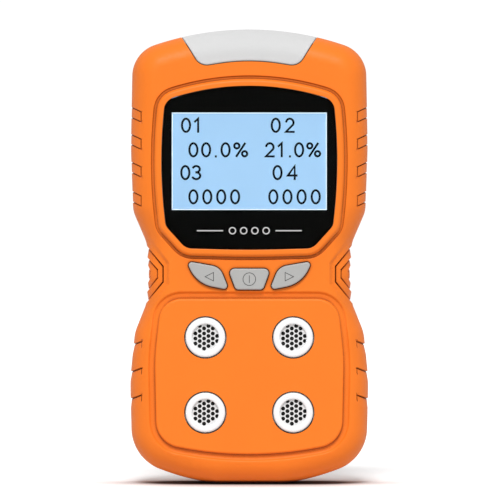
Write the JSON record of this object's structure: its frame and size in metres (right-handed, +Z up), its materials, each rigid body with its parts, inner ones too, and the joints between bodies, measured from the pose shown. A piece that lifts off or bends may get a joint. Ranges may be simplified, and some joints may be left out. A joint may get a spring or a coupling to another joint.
{
  "type": "portable gas detector",
  "caption": "Hand-held gas detector: orange ribbed case, black display window over three keys, round sensor ports on a raised panel, translucent alarm light on top, sprung belt clip behind.",
  "frame": {"origin": "middle of the flat foot at the base of the case, on the plane where the two shells part", "axes": "+Z up the case, front and display face -Y, belt clip on the +Y side, X across the width"},
  "size_m": [0.0682, 0.0403, 0.1301],
  "materials": {
    "orange_case": "fine moulded texture",
    "black_rubber": "matte",
    "diffuser": "translucent white",
    "lens": "clear polished window",
    "black_print": "printed black",
    "lcd_glass": "pale blue display",
    "white_plastic": "moulded",
    "backlight": "diffusing sheet",
    "key_grey": "soft touch",
    "switch_black": "moulded",
    "board_green": "solder mask",
    "chip_black": "moulded",
    "ring_white": "satin white",
    "grille_grey": "perforated sheet",
    "cell_plastic": "moulded",
    "battery_can": "wrapped in film",
    "foam": "foam",
    "connector_cream": "moulded",
    "lead_red": "insulated wire",
    "steel": "plain steel",
    "weight": "sintered heavy alloy",
    "led": "moulded epoxy",
    "clip_black": "moulded",
    "label_silver": "blank printed label"
  },
  "bodies": {
    "case": {"front_shell": "orange_case", "rear_shell": "orange_case", "case_seal": "black_rubber", "alarm_diffuser": "diffuser", "window_lens": "lens", "window_mask": "black_print", "lcd_panel": "lcd_glass", "lcd_frame": "white_plastic", "backlight_panel": "backlight", "left_switch": "switch_black", "power_switch": "switch_black", "right_switch": "switch_black", "main_board": "board_green", "sensor_board": "board_green", "board_chips": "chip_black", "board_header": "chip_black", "battery_pack": "battery_can", "battery_pad": "foam", "battery_connector": "connector_cream", "battery_leads": "lead_red", "buzzer": "chip_black", "motor_can": "steel", "alarm_leds": "led", "charge_socket": "steel", "case_screws": "steel", "board_screws": "steel", "clip_base": "clip_black", "clip_pin": "steel", "clip_spring": "steel", "clip_screws": "steel", "rear_label": "label_silver", "port_ring_combustible": "ring_white", "grille_combustible": "grille_grey", "gasket_combustible": "black_rubber", "sensor_combustible": "cell_plastic", "port_ring_oxygen": "ring_white", "grille_oxygen": "grille_grey", "gasket_oxygen": "black_rubber", "sensor_oxygen": "cell_plastic", "port_ring_h2s": "ring_white", "grille_h2s": "grille_grey", "gasket_h2s": "black_rubber", "sensor_h2s": "cell_plastic", "port_ring_co": "ring_white", "grille_co": "grille_grey", "gasket_co": "black_rubber", "sensor_co": "cell_plastic"},
    "left_key": {"left_button": "key_grey", "left_plunger": "switch_black"},
    "power_key": {"power_button": "key_grey", "power_plunger": "switch_black"},
    "right_key": {"right_button": "key_grey", "right_plunger": "switch_black"},
    "clip": {"clip_lever": "clip_black"},
    "rotor": {"motor_shaft": "steel", "motor_weight": "weight"},
    "flap": {"port_cover": "black_rubber"}
  },
  "joints": [
    {"name": "left_press", "type": "slide", "parent": "case", "child": "left_key", "axis": [0, 1, 0], "range_m": [0, 0.0005], "stiffness_N_per_m": 1000, "springref_m": -0.0015},
    {"name": "power_press", "type": "slide", "parent": "case", "child": "power_key", "axis": [0, 1, 0], "range_m": [0, 0.0005], "stiffness_N_per_m": 1000, "springref_m": -0.0015},
    {"name": "right_press", "type": "slide", "parent": "case", "child": "right_key", "axis": [0, 1, 0], "range_m": [0, 0.0005], "stiffness_N_per_m": 1000, "springref_m": -0.0015},
    {"name": "clip_hinge", "type": "hinge", "parent": "case", "child": "clip", "pos_m": [0, 0.0195, 0.104], "axis": [1, 0, 0], "range_deg": [0, 18], "stiffness_Nm_per_rad": 0.5, "springref_deg": -17.19, "deforming": ["clip_spring"]},
    {"name": "motor_spin", "type": "hinge", "parent": "case", "child": "rotor", "pos_m": [0, -0.003, 0.062], "axis": [1, 0, 0], "continuous": true},
    {"name": "flap_hinge", "type": "hinge", "parent": "case", "child": "flap", "pos_m": [0, 0.00735, 0.00062], "axis": [1, 0, 0], "range_deg": [0, 95]}
  ]
}
